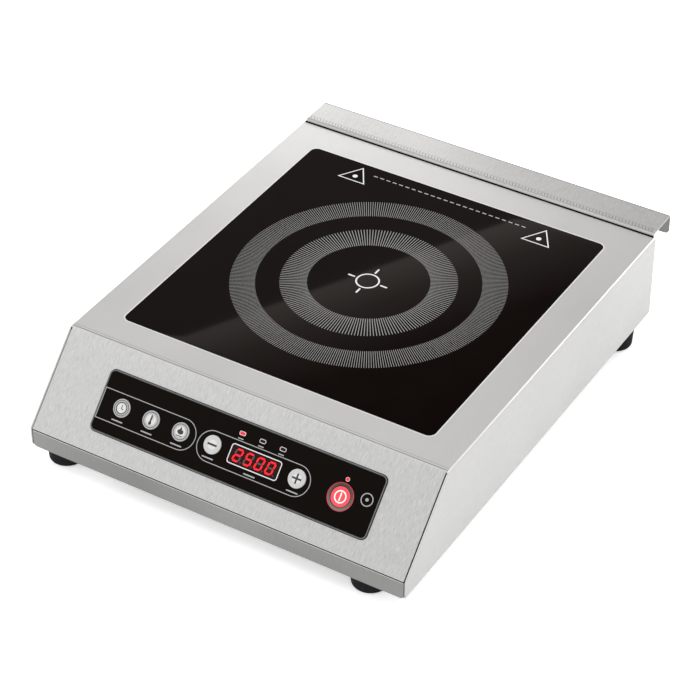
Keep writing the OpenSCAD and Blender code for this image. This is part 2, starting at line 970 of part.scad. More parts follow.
// Silicone plug in the former's hub that presses the temperature sensor against the glass
module thermistor_plug() {
    color([0.92, 0.91, 0.88])
        at_coil() {
            rod(hub_in_r + 3, former_low - 1.5, former_low);
            rod(hub_in_r - 0.2, former_low - 0.01, former_high);
            rod(10, former_high - 0.01, glass_bottom - 1);
            rod(5, glass_bottom - 1.01, glass_bottom);
        }
}

// Aluminium bridge that stands on the pan and carries the coil
module coil_bracket() {
    leg_half = 15;
    color([0.75, 0.76, 0.78])
        at_coil()
            difference() {
                union() {
                    span([-bracket_x, -bracket_half_y, bracket_z],
                         [bracket_x, bracket_half_y, bracket_z + bracket_t]);
                    for (side = [-1, 1]) {
                        translate([side * (bracket_x - bracket_t / 2), 0, 0])
                            span([-bracket_t / 2, -leg_half, floor_z],
                                 [bracket_t / 2, leg_half, bracket_z + 0.01]);
                        translate([side * (bracket_x + 5.5), 0, 0])
                            span([-5.51, -leg_half, floor_z], [5.5, leg_half, floor_z + bracket_t]);
                    }
                }
                rod(20, bracket_z - eps, bracket_z + bracket_t + eps);
                for (side = [-1, 1])
                    translate([side * 78, 0, bracket_z - eps])
                        linear_extrude(bracket_t + 2 * eps)
                            rounded_rect(44, 50, 6);
            }
}

module coil_leads() {
    color([0.78, 0.2, 0.16]) {
        wire(smooth(coil_start_route, 4), 2.2, 8, [0, 1, 0.5]);
        wire(smooth(coil_end_route, 4), 2.2, 8, [0, 1, 0.5]);
        for (x = [46, 60])
            translate([x, -70, 0])
                rod(4, pcb_z, pcb_z + 1.6);
    }
}

// Power board and its components

board_corners = [
    for (x = [board_x[0] + standoff_inset, board_x[1] - standoff_inset],
         y = [board_y[0] + standoff_inset, board_y[1] - standoff_inset])
        [x, y]
];

module power_board() {
    color([0.1, 0.34, 0.18])
        difference() {
            span([board_x[0], board_y[0], pcb_low], [board_x[1], board_y[1], pcb_z]);
            for (corner = board_corners)
                translate([corner[0], corner[1], 0])
                    rod(1.7, pcb_low - eps, pcb_z + eps);
        }
}

module heat_sink() {
    pitch = (sink_x[1] - sink_x[0] - 2) / (fin_count - 1);
    color([0.72, 0.73, 0.75]) {
        span([sink_x[0], sink_back - sink_plate, sink_low], [sink_x[1], sink_back, sink_high]);
        for (i = [0:fin_count - 1])
            translate([sink_x[0] + i * pitch, 0, 0])
                span([0, sink_front, sink_low], [2, sink_back - sink_plate + 0.01, sink_high]);
        for (x = [sink_x[0] + 2.5, sink_x[1] - 2.5])
            translate([x, sink_back - 2.5, 0])
                rod(1.2, pcb_z, sink_low + 0.01);
    }
}

// A flat power device with legs, standing against the rear of the heat sink
module power_device(x, w, h, legs) {
    low = sink_low + 12;
    translate([x, sink_back, 0]) {
        difference() {
            span([-w / 2, 0, low], [w / 2, 5, low + h]);
            translate([0, -eps, low + h - 4.5])
                rotate([-90, 0, 0])
                    cylinder(r = 1.8, h = 5 + 2 * eps);
        }
        for (i = [0:legs - 1])
            translate([(i - (legs - 1) / 2) * 5.4, 2.5, 0])
                span([-0.6, -0.3, pcb_z], [0.6, 0.3, low + 0.01]);
    }
}

module igbt_transistors() {
    color([0.1, 0.1, 0.11])
        for (x = [-84, -58])
            power_device(x, 16, 21, 3);
}

module bridge_rectifier() {
    color([0.12, 0.12, 0.12])
        power_device(-24, 30, 20, 4);
}

module resonance_capacitors() {
    color([0.16, 0.26, 0.5])
        for (i = [0:2])
            translate([18 + 22 * i, -118, pcb_z])
                rounded_plate(17, 34, 1.5, 0, 28 - 3 * i);
}

module filter_choke() {
    color([0.75, 0.45, 0.2])
        translate([26, -38, pcb_z]) {
            rotate_extrude()
                translate([12, 8])
                    rounded_rect(10, 14, 3);
            rod(13, 0, 1.2);
        }
}

module standby_transformer() {
    color([0.85, 0.75, 0.3])
        translate([-50, -120, pcb_z]) {
            span([-12, -9, 0], [12, 9, 4]);
            span([-7, -11, 4], [7, 11, 17]);
            span([-12, -6, 3.99], [12, 6, 20]);
        }
}

module mains_relay() {
    color([0.12, 0.25, 0.6])
        translate([-88, -120, pcb_z])
            rounded_plate(16, 28, 1, 0, 20);
}

module fuse() {
    color([0.8, 0.78, 0.7])
        translate([68, -44, pcb_z + 6])
            rotate([90, 0, 0]) {
                translate([0, 0, -10])
                    cylinder(r = 2.6, h = 20);
                for (z = [-9, 5])
                    translate([-3, -6, z])
                        cube([6, 6, 4]);
            }
}

module board_standoffs() {
    color([0.8, 0.68, 0.35])
        for (corner = board_corners)
            translate([corner[0], corner[1], 0])
                difference() {
                    translate([0, 0, floor_z])
                        cylinder(r = 3.4, h = standoff_h, $fn = 6);
                    rod(1.5, floor_z + 3, pcb_low + eps);
                }
}

module board_screws() {
    color([0.7, 0.7, 0.72])
        for (corner = board_corners)
            translate([corner[0], corner[1], pcb_z])
                pan_screw(1.4, 2.8, 1.9, 8);
}

// Mains input

module terminal_block() {
    color([0.88, 0.87, 0.83])
        translate([block_at[0], block_at[1], floor_z])
            difference() {
                union() {
                    span([-17, -12, 0], [17, 12, 8]);
                    span([-17, -8, 7.99], [17, 8, 19]);
                }
                for (x = [-11, 0, 11]) {
                    translate([x, 0, 10])
                        rod(2.6, 0, 10);
                    translate([x, -8 - eps, 11])
                        rotate([-90, 0, 0])
                            cylinder(r = 2.4, h = 6);
                }
            }
}

module mains_leads() {
    color([0.45, 0.26, 0.14]) {
        wire(smooth(live_route, 4), 1.7, 8, [1, 1, 0.2]);
        wire(smooth(neutral_route, 4), 1.7, 8, [1, 1, 0.2]);
        for (y = [-46, -36])
            translate([-106, y, 0])
                rod(3.2, pcb_z, pcb_z + 1.6);
    }
}

module earth_stud() {
    color([0.8, 0.66, 0.3])
        translate([earth_at[0], earth_at[1], floor_z]) {
            rod(2.5, 0, 14);
            tube(6, 2.49, 0, 1);
            translate([0, 0, 1])
                difference() {
                    cylinder(r = 4.6, h = 4, $fn = 6);
                    translate([0, 0, -eps])
                        cylinder(r = 2.49, h = 6);
                }
        }
}

// Cooling fans

module fan_frame(side) {
    color([0.1, 0.1, 0.1])
        translate([side * fan_x, fan_y, floor_z])
            difference() {
                union() {
                    difference() {
                        rounded_plate(fan_size, fan_size, 5, 0, fan_h);
                        rod(fan_bore_r, -eps, fan_h + eps);
                    }
                    rod(hub_r, 0, 3);
                    for (a = [45:90:315])
                        rotate([0, 0, a])
                            span([hub_r - 1, -2.5, 0], [fan_bore_r + 1, 2.5, 2.5]);
                    rod(4, 2.99, 8);
                }
                rod(shaft_r + shaft_clear, 1, 9);
                for (x = [-fan_hole, fan_hole], y = [-fan_hole, fan_hole])
                    translate([x, y, 0])
                        rod(2.1, -eps, fan_h + eps);
            }
}

// Rotor: a cup over the motor, a shaft and tilted blades
module fan_rotor(side) {
    color([0.14, 0.14, 0.15])
        translate([side * fan_x, fan_y, floor_z]) {
            difference() {
                rod(hub_r, 4, 23);
                rod(hub_r - 2, 4 - eps, 20.5);
            }
            rod(shaft_r, 1.4, 20.51);
            intersection() {
                tube(rotor_r, hub_r - 1, 4.5, 22.5);
                for (i = [0:blade_count - 1])
                    rotate([0, 0, i * 360 / blade_count])
                        translate([0, 0, 13.5])
                            rotate([42, 0, 0])
                                span([hub_r - 1.5, -13, -0.8], [rotor_r + 2, 13, 0.8]);
            }
        }
}

module fan_screws() {
    color([0.7, 0.7, 0.72])
        for (side = [-1, 1], x = [-fan_hole, fan_hole], y = [-fan_hole, fan_hole])
            translate([side * fan_x + x, fan_y + y, floor_z + fan_h])
                pan_screw(1.9, 3.6, 2.2, fan_h - 1);
}

top_housing();
base_pan();
rear_panel();
rear_canopy();
glass_plate();
glass_sealant();
glass_frame();
panel_bezel();
control_overlay();
display_window();
push_button(timer_at, button_r, "gainsboro");  // timer_button
push_button(temp_at, button_r, "gainsboro");  // temp_button
push_button(power_at, button_r, "gainsboro");  // power_button
push_button(down_at, button_r, "gainsboro");  // down_button
push_button(up_at, button_r, "gainsboro");  // up_button
push_button(on_off_at, on_off_r, "crimson");  // on_off_button
on_off_ring();
button_carrier();
control_board();
tact_switches();
display_module();
indicator_leds();
buzzer();
control_screws();
ribbon_cable();
feet();
foot_screws();
base_screws();
rear_screws();
cable_gland();
gland_nut();
coil_former();
litz_coil();
ferrite_bars();
coil_springs();
mica_sheet();
thermistor_plug();
coil_bracket();
coil_leads();
power_board();
heat_sink();
igbt_transistors();
bridge_rectifier();
resonance_capacitors();
filter_choke();
standby_transformer();
mains_relay();
fuse();
board_standoffs();
board_screws();
terminal_block();
mains_leads();
earth_stud();
fan_frame(-1);  // fan_frame_left
fan_rotor(-1);  // fan_rotor_left
fan_frame(1);  // fan_frame_right
fan_rotor(1);  // fan_rotor_right
fan_screws();
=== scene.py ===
import json
import math

import bpy
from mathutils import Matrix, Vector

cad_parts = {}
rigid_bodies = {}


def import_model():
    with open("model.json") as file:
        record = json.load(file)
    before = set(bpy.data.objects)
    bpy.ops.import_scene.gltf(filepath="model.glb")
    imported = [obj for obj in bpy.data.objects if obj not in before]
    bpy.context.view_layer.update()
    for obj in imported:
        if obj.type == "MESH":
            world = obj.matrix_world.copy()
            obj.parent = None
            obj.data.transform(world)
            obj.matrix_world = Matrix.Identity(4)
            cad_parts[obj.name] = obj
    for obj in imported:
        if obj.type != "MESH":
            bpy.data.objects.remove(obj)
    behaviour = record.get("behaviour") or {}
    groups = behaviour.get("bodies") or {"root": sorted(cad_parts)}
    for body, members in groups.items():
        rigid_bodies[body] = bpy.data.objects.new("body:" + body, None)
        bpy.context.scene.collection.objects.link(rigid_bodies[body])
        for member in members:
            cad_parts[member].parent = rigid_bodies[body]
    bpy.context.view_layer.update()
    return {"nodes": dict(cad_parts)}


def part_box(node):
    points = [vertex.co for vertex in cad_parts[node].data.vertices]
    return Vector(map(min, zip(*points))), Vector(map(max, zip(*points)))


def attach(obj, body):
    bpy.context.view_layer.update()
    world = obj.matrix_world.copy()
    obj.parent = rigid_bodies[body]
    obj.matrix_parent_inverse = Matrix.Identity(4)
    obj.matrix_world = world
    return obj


for leftover in list(bpy.data.objects):
    bpy.data.objects.remove(leftover)

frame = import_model()

# ---------------------------------------------------------------- frame measures, in millimetres
MM = 0.001
LOW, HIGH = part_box("top_housing")
Z_TOP = HIGH.z / MM
Y_FRONT = LOW.y / MM
Y_TOP_REAR = Y_FRONT + 392.0
HALF_W = HIGH.x / MM
SLOPE_RUN, SLOPE_DROP = 59.0, 60.5
SLOPE_LEN = math.hypot(SLOPE_RUN, SLOPE_DROP)
SHEET = 1.2
INNER_W = HALF_W - SHEET
Y_CREASE = Y_FRONT + SLOPE_RUN
SLOPE = math.atan2(SLOPE_DROP, SLOPE_RUN)
COS, SIN = math.cos(SLOPE), math.sin(SLOPE)
GLASS_LOW, GLASS_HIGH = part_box("glass_plate")
RING_Y = (GLASS_LOW.y + GLASS_HIGH.y) / 2 / MM
FILM = 0.7
CAP = 1.1

TIMER, TEMP, POWER = (-97.7, -44.7), (-71.0, -44.7), (-44.4, -44.7)
DOWN, UP, ON_OFF = (-16.1, -44.7), (57.5, -44.7), (94.7, -45.1)
DISPLAY = (20.8, -45.0)
LEDS = [(3.8, -28.7), (21.3, -28.7), (38.8, -28.7)]
DOT = (95.1, -31.5)


def on_top(a, b, h):
    """A point above the top plate: a is X, b is Y."""
    return Vector((a, b, Z_TOP + h)) * MM


def on_slope(a, b, h):
    """A point above the sloped face: a is across, b is up the slope from the bend."""
    return Vector((a, Y_CREASE + b * COS - h * SIN, Z_TOP + b * SIN + h * COS)) * MM


def on_front(a, b, h):
    """A point before the front strip: a is X, b is Z."""
    return Vector((a, Y_FRONT - h, b)) * MM


# ---------------------------------------------------------------- flat shapes
def arc(centre, r, start, end, steps):
    span = [start + (end - start) * i / steps for i in range(steps + 1)]
    return [
        (centre[0] + r * math.cos(math.radians(t)), centre[1] + r * math.sin(math.radians(t)))
        for t in span
    ]


def disc(centre, r, steps=48):
    return [arc(centre, r, 0, 360, steps)[:-1]]


def ribbon(points, width, closed=False):
    """Quads along a line, mitred at its corners."""
    pts = [Vector(p) for p in points]
    n = len(pts)
    sides = []
    for i, p in enumerate(pts):
        ways = []
        if closed or i > 0:
            ways.append((p - pts[i - 1]).normalized())
        if closed or i < n - 1:
            ways.append((pts[(i + 1) % n] - p).normalized())
        normals = [Vector((-w.y, w.x)) for w in ways]
        middle = sum(normals, Vector((0, 0))).normalized()
        reach = width / 2 / max(middle.dot(normals[0]), 0.35)
        sides.append((p + middle * reach, p - middle * reach))
    count = n if closed else n - 1
    quads = []
    for i in range(count):
        here, there = sides[i], sides[(i + 1) % n]
        quads.append([here[1], there[1], there[0], here[0]])
    return quads


def ring(centre, r, width, steps=72):
    return ribbon(arc(centre, r, 0, 360, steps)[:-1], width, True)


def stroke(a, b, width, steps=6):
    """One straight stroke with round ends."""
    a, b = Vector(a), Vector(b)
    turn = math.degrees(math.atan2(b.y - a.y, b.x - a.x))
    return [
        arc(b, width / 2, turn - 90, turn + 90, steps)
        + arc(a, width / 2, turn + 90, turn + 270, steps)
    ]


def rounded(centre, w, h, r, steps=8):
    x, y = centre
    points = []
    for sx, sy, start in ((1, 1, 0), (-1, 1, 90), (-1, -1, 180), (1, -1, 270)):
        points += arc((x + sx * (w / 2 - r), y + sy * (h / 2 - r)), r, start, start + 90, steps)
    return points


def smooth_line(points, steps=6):
    """A Catmull-Rom curve through the points."""
    pts = [Vector(p) for p in points]
    line = []
    for i in range(len(pts) - 1):
        a, b = pts[max(i - 1, 0)], pts[i]
        c, d = pts[i + 1], pts[min(i + 2, len(pts) - 1)]
        for s in range(steps):
            t = s / steps
            line.append(
                (2 * b + (c - a) * t + (2 * a - 5 * b + 4 * c - d) * t * t
                 + (3 * b - a - 3 * c + d) * t * t * t) / 2
            )
    return line + [pts[-1]]


# ---------------------------------------------------------------- materials
class Paint:
    """One node material round a Principled shader, in the object's own coordinates."""

    def __init__(self, name, **values):
        self.material = bpy.data.materials.new(name)
        self.material.use_nodes = True
        self.tree = self.material.node_tree
        self.shader = self.tree.nodes["Principled BSDF"]
        self.coords = self.tree.nodes.new("ShaderNodeTexCoord")
        for key, value in values.items():
            self.shader.inputs[key].default_value = value

    def link(self, source, target):
        self.tree.links.new(source, target)

    def noise(self, scale, stretch=(1, 1, 1), detail=3.0, roughness=0.55, turn=(0, 0, 0)):
        mapping = self.tree.nodes.new("ShaderNodeMapping")
        mapping.inputs["Scale"].default_value = stretch
        mapping.inputs["Rotation"].default_value = turn
        self.link(self.coords.outputs["Object"], mapping.inputs["Vector"])
        node = self.tree.nodes.new("ShaderNodeTexNoise")
        node.inputs["Scale"].default_value = scale
        node.inputs["Detail"].default_value = detail
        node.inputs["Roughness"].default_value = roughness
        self.link(mapping.outputs["Vector"], node.inputs["Vector"])
        return node.outputs["Fac"]

    def ramp(self, fac, stops):
        node = self.tree.nodes.new("ShaderNodeValToRGB")
        elements = node.color_ramp.elements
        while len(elements) < len(stops):
            elements.new(0.5)
        for element, (place, colour) in zip(elements, stops):
            element.position = place
            element.color = (*colour, 1)
        self.link(fac, node.inputs["Fac"])
        return node.outputs["Color"]

    def spread(self, fac, low, high, start=0.3, end=0.7):
        node = self.tree.nodes.new("ShaderNodeMapRange")
        node.inputs["From Min"].default_value = start
        node.inputs["From Max"].default_value = end
        node.inputs["To Min"].default_value = low
        node.inputs["To Max"].default_value = high
        self.link(fac, node.inputs["Value"])
        return node.outputs["Result"]

    def math(self, kind, a, b):
        node = self.tree.nodes.new("ShaderNodeMath")
        node.operation = kind
        for socket, value in zip(node.inputs, (a, b)):
            if isinstance(value, (int, float)):
                socket.default_value = value
            else:
                self.link(value, socket)
        return node.outputs["Value"]

    def blend(self, fac, a, b):
        node = self.tree.nodes.new("ShaderNodeMix")
        node.data_type = "RGBA"
        self.link(fac, node.inputs["Factor"])
        for key, value in ((6, a), (7, b)):
            self.link(value, node.inputs[key])
        return node.outputs[2]

    def axis(self, output, index):
        node = self.tree.nodes.new("ShaderNodeSeparateXYZ")
        self.link(self.coords.outputs[output], node.inputs["Vector"])
        return node.outputs[index]

    def bump(self, fac, strength, distance):
        node = self.tree.nodes.new("ShaderNodeBump")
        node.inputs["Strength"].default_value = strength
        node.inputs["Distance"].default_value = distance
        self.link(fac, node.inputs["Height"])
        self.link(node.outputs["Normal"], self.shader.inputs["Normal"])

    def set(self, key, socket):
        self.link(socket, self.shader.inputs[key])


def varied(name, dark, light, rough=(0.4, 0.55), scale=180, stretch=(1, 1, 1), bump=0.15,
           distance=0.0001, detail=4.0, **values):
    """A finish whose colour, gloss and relief all vary a little with one noise."""
    paint = Paint(name, **values)
    fac = paint.noise(scale, stretch, detail)
    paint.set("Base Color", paint.ramp(fac, [(0.3, dark), (0.7, light)]))
    paint.set("Roughness", paint.spread(fac, *rough))
    if bump:
        paint.bump(fac, bump, distance)
    return paint.material


def grey(v):
    return (v, v, v)


def warm(v):
    return (v, v * 0.995, v * 0.98)


def brushed(name, low, high, along, strength, metallic=0.65, rough=(0.34, 0.46), fine=1.0):
    """Brushed sheet: long fine streaks over a faint cloudy tone."""
    paint = Paint(name, Metallic=metallic)
    streak = paint.noise(1.0, tuple(v * fine for v in along), 4.0, 0.6)
    cloud = paint.noise(9.0, (1, 1, 1), 2.0)
    tone = paint.math("ADD", paint.math("MULTIPLY", streak, strength),
                      paint.math("MULTIPLY", cloud, 1 - strength))
    paint.set("Base Color", paint.ramp(tone, [(0.32, warm(low)), (0.68, warm(high))]))
    paint.set("Roughness", paint.spread(streak, *rough))
    paint.bump(streak, 0.12, 0.00006)
    return paint.material


def housing_steel():
    """The folded housing: plain on the top and the sides, streaked up the slope."""
    paint = Paint("housing_steel", Metallic=0.65)
    slope = paint.math("MULTIPLY", paint.math("MULTIPLY", paint.axis("Normal", 1),
                                              paint.axis("Normal", 2)), -2.0)
    slope = paint.spread(slope, 0.0, 1.0, 0.2, 0.9)
    streak = paint.noise(1.0, (2500, 170, 170), 4.0, 0.65)
    hair = paint.noise(1.0, (4600, 300, 300), 2.0, 0.5)
    side = paint.noise(1.0, (60, 30, 700), 3.0, 0.5)
    cloud = paint.noise(7.0, (1, 1, 1), 2.0, 0.5)
    plain = paint.math("ADD", paint.math("MULTIPLY", cloud, 0.8), paint.math("MULTIPLY", side, 0.2))
    rubbed = paint.math("ADD", paint.math("MULTIPLY", streak, 0.6), paint.math("MULTIPLY", hair, 0.4))
    plain_tone = paint.ramp(plain, [(0.3, warm(0.40)), (0.7, warm(0.45))])
    rubbed_tone = paint.ramp(rubbed, [(0.3, warm(0.30)), (0.7, warm(0.57))])
    paint.set("Base Color", paint.blend(slope, plain_tone, rubbed_tone))
    paint.set("Roughness", paint.spread(rubbed, 0.36, 0.48))
    paint.bump(rubbed, 0.1, 0.00005)
    return paint.material


def glass_black():
    paint = Paint("glass_black", Roughness=0.03)
    paint.shader.inputs["Specular IOR Level"].default_value = 0.025
    fac = paint.noise(35, (1, 1, 1), 2.0)
    tone = paint.ramp(fac, [(0.3, (0.0034, 0.0018, 0.0014)), (0.7, (0.0042, 0.0024, 0.0019))])
    paint.set("Base Color", tone)
    paint.bump(fac, 0.01, 0.00002)
    return paint.material


def glowing(name, colour, strength, low=0.85):
    paint = Paint(name, Roughness=0.35)
    paint.shader.inputs["Specular IOR Level"].default_value = 0.1
    fac = paint.noise(700, (1, 1, 1), 2.0)
    shade = tuple(c * low for c in colour)
    tone = paint.ramp(fac, [(0.3, shade), (0.7, colour)])
    paint.set("Base Color", tone)
    paint.set("Emission Color", tone)
    paint.shader.inputs["Emission Strength"].default_value = strength
    return paint.material


def upward_fade(name, low, high, z_low, z_high):
    """Painted shade: a colour that gets lighter towards its lower edge and darker towards its top."""
    paint = Paint(name, Roughness=0.3)
    fac = paint.spread(paint.axis("Object", 2), 0.0, 1.0, z_low * MM, z_high * MM)
    grain = paint.noise(900, (1, 1, 1), 2.0)
    between = tuple((a + b) / 2.6 for a, b in zip(low, high))
    paint.set("Base Color", paint.ramp(fac, [(0.0, low), (0.55, between), (1.0, high)]))
    paint.bump(grain, 0.05, 0.00003)
    return paint.material


def wound_copper():
    """Varnished winding: concentric turns of fine twisted strands."""
    paint = Paint("wound_copper", Metallic=0.8)
    strands = paint.noise(900, (1, 1, 0.4), 3.0)
    paint.set("Base Color", paint.ramp(strands, [(0.3, (0.36, 0.13, 0.04)), (0.7, (0.72, 0.33, 0.12))]))
    paint.set("Roughness", paint.spread(strands, 0.3, 0.5))
    paint.bump(strands, 0.5, 0.0003)
    return paint.material


DULL = {"Specular IOR Level": 0.03}
STEEL = housing_steel()
FINISHES = {
    "top_housing": STEEL,
    # Painted shade: the base pan's brushed steel is made darker to stand in for the shade on its front strip
    "base_pan": brushed("pan_steel_shaded", 0.165, 0.23, (900, 90, 90), 0.4),
    "rear_panel": brushed("rear_steel", 0.38, 0.48, (20, 20, 700), 0.5),
    "rear_canopy": brushed("canopy_steel", 0.31, 0.43, (1600, 220, 220), 0.7),
    "glass_plate": glass_black(),
    "glass_sealant": varied("sealant_pale", grey(0.50), grey(0.57), (0.4, 0.5), 400),
    "glass_frame": varied("zinc_plate", grey(0.45), grey(0.6), (0.35, 0.5), 120, Metallic=0.9),
    "panel_bezel": varied("bezel_grey", grey(0.045), grey(0.060), (0.3, 0.4), 600, **DULL),
    "control_overlay": varied(
        "panel_film", (0.0028, 0.0018, 0.0010), (0.0036, 0.0024, 0.0014), (0.28, 0.34), 900,
        bump=0.03, **DULL),
    "display_window": varied(
        "display_smoke", (0.018, 0.007, 0.007), (0.024, 0.010, 0.010), (0.2, 0.3), 500, bump=0.02,
        **DULL),
    "button_carrier": varied("carrier_black", grey(0.02), grey(0.03), (0.45, 0.6), 300),
    "control_board": varied("board_green", (0.010, 0.075, 0.030), (0.016, 0.115, 0.045), (0.3, 0.45), 260),
    "tact_switches": varied("switch_black", grey(0.02), grey(0.035), (0.4, 0.55), 700),
    "display_module": varied("module_white", grey(0.62), grey(0.72), (0.4, 0.5), 400),
    "indicator_leds": varied(
        "led_body", (0.020, 0.008, 0.008), (0.030, 0.011, 0.011), (0.2, 0.3), 800, bump=0.02, **DULL),
    "buzzer": varied("buzzer_black", grey(0.012), grey(0.02), (0.4, 0.5), 500),
    "ribbon_cable": varied(
        "ribbon_grey", grey(0.36), grey(0.52), (0.4, 0.5), 1.0, (900, 10, 10), 0.4, 0.0002),
    "feet": varied(
        "foot_rubber", (0.009, 0.009, 0.010), (0.015, 0.015, 0.017), (0.5, 0.7), 600, bump=0.2,
        **DULL),
    "cable_gland": varied("gland_black", grey(0.015), grey(0.025), (0.35, 0.5), 500),
    "gland_nut": varied("nut_black", grey(0.015), grey(0.025), (0.35, 0.5), 500),
    "coil_former": varied("former_resin", (0.60, 0.55, 0.44), (0.70, 0.65, 0.54), (0.45, 0.6), 150),
    "litz_coil": wound_copper(),
    "ferrite_bars": varied("ferrite_grey", grey(0.018), grey(0.032), (0.4, 0.6), 300),
    "coil_springs": varied("spring_wire", grey(0.45), grey(0.6), (0.25, 0.35), 400, Metallic=1.0),
    "mica_sheet": varied("mica_flakes", (0.50, 0.44, 0.28), (0.74, 0.68, 0.50), (0.25, 0.45), 90, detail=8.0),
    "thermistor_plug": varied("plug_silicone", grey(0.55), grey(0.62), (0.5, 0.6), 300),
    "coil_bracket": varied(
        "bracket_aluminium", grey(0.55), grey(0.68), (0.35, 0.5), 1.0, (30, 500, 30), Metallic=0.9),
    "coil_leads": varied("lead_red", (0.38, 0.02, 0.01), (0.50, 0.04, 0.02), (0.4, 0.55), 500),
    "power_board": varied(
        "power_board_green", (0.010, 0.080, 0.030), (0.018, 0.125, 0.050), (0.3, 0.45), 200),
    "heat_sink": varied(
        "sink_aluminium", grey(0.52), grey(0.66), (0.3, 0.45), 1.0, (30, 30, 500), Metallic=0.9),
    "igbt_transistors": varied("device_black", grey(0.015), grey(0.025), (0.4, 0.55), 600),
    "bridge_rectifier": varied("rectifier_black", grey(0.015), grey(0.028), (0.4, 0.55), 600),
    "resonance_capacitors": varied(
        "capacitor_blue", (0.020, 0.055, 0.20), (0.030, 0.080, 0.27), (0.3, 0.45), 250),
    "filter_choke": varied(
        "choke_copper", (0.42, 0.14, 0.04), (0.70, 0.30, 0.10), (0.25, 0.4), 500, Metallic=0.8),
    "standby_transformer": varied(
        "transformer_tape", (0.55, 0.42, 0.06), (0.68, 0.54, 0.10), (0.35, 0.5), 300),
    "mains_relay": varied("relay_blue", (0.015, 0.060, 0.26), (0.022, 0.085, 0.34), (0.35, 0.45), 300),
    "fuse": varied("fuse_ceramic", grey(0.62), grey(0.72), (0.2, 0.3), 300),
    "board_standoffs": varied(
        "standoff_brass", (0.48, 0.33, 0.11), (0.62, 0.45, 0.17), (0.25, 0.35), 400, Metallic=1.0),
    "terminal_block": varied("block_white", grey(0.62), grey(0.72), (0.4, 0.55), 350),
    "mains_leads": varied("lead_brown", (0.09, 0.035, 0.012), (0.13, 0.055, 0.022), (0.4, 0.55), 500),
    "earth_stud": varied(
        "stud_brass", (0.48, 0.33, 0.11), (0.62, 0.45, 0.17), (0.25, 0.35), 400, Metallic=1.0),
    "on_off_button": varied(
        "button_red", (0.70, 0.040, 0.055), (0.80, 0.060, 0.075), (0.3, 0.4), 500, bump=0.03),
    # Painted shade: the ring round the on/off button darkens towards its top
    "on_off_ring": upward_fade("ring_shaded", (0.12, 0.125, 0.12), (0.008, 0.010, 0.010), 57, 71),
}
SCREW = varied("screw_zinc", grey(0.45), grey(0.62), (0.25, 0.4), 500, Metallic=1.0)
FAN = varied("fan_black", grey(0.012), grey(0.022), (0.4, 0.55), 300)
BUTTON = varied("button_grey", grey(0.36), grey(0.42), (0.35, 0.45), 700, bump=0.04, **DULL)
PALE_BUTTON = varied("button_pale", grey(0.46), grey(0.52), (0.35, 0.45), 700, bump=0.04, **DULL)
for screws in ("control_screws", "foot_screws", "base_screws", "rear_screws", "board_screws", "fan_screws"):
    FINISHES[screws] = SCREW
for part in ("fan_frame_left", "fan_frame_right", "fan_rotor_left", "fan_rotor_right"):
    FINISHES[part] = FAN
for name in ("timer_button", "temp_button", "power_button"):
    FINISHES[name] = BUTTON
for name in ("down_button", "up_button"):
    FINISHES[name] = PALE_BUTTON

# ---------------------------------------------------------------- soft edges on the CAD pieces
EDGES = {
    "top_housing": 0.25, "base_pan": 0.25, "rear_panel": 0.2, "rear_canopy": 0.3, "glass_plate": 0.35,
    "glass_sealant": 0.12, "panel_bezel": 0.3, "control_overlay": 0.12, "display_window": 0.12,
    "on_off_ring": 0.25, "button_carrier": 0.3, "display_module": 0.3, "coil_former": 0.4,
    "ferrite_bars": 0.6, "coil_bracket": 0.3, "heat_sink": 0.25, "igbt_transistors": 0.4,
    "bridge_rectifier": 0.5, "resonance_capacitors": 0.8, "standby_transformer": 0.6, "mains_relay": 0.5,
    "terminal_block": 0.6, "fan_frame_left": 0.5, "fan_frame_right": 0.5, "gland_nut": 0.5,
    "tact_switches": 0.2, "power_board": 0.15, "control_board": 0.15, "glass_frame": 0.2,
}


def soften(obj, width):
    weld = obj.modifiers.new("weld", "WELD")
    weld.merge_threshold = 0.000002
    bevel = obj.modifiers.new("bevel", "BEVEL")
    bevel.width = width * MM
    bevel.segments = 2
    bevel.limit_method = "ANGLE"
    bevel.angle_limit = math.radians(40)
    shade = obj.modifiers.new("normals", "WEIGHTED_NORMAL")
    shade.weight = 80
    shade.keep_sharp = False


for name, obj in frame["nodes"].items():
    obj.data.materials.clear()
    obj.data.materials.append(FINISHES[name])
    if name in EDGES:
        soften(obj, EDGES[name])


# ---------------------------------------------------------------- printed and inlaid pieces
def inlay(name, polygons, place, height, material, body="hob", thickness=0.12):
    """Thin closed plates, one for each polygon, with their top faces at height."""
    verts, faces = [], []
    for polygon in polygons:
        n = len(polygon)
        start = len(verts)
        verts += [place(p[0], p[1], height) for p in polygon]
        verts += [place(p[0], p[1], height - thickness) for p in polygon]
        faces.append([start + i for i in range(n)])
        faces.append([start + n + i for i in reversed(range(n))])
        faces += [
            [start + i, start + n + i, start + n + (i + 1) % n, start + (i + 1) % n] for i in range(n)
        ]
    mesh = bpy.data.meshes.new(name)
    mesh.from_pydata(verts, [], faces)
    mesh.update()
    obj = bpy.data.objects.new(name, mesh)
    bpy.context.scene.collection.objects.link(obj)
    mesh.materials.append(material)
    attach(obj, body)
    return obj


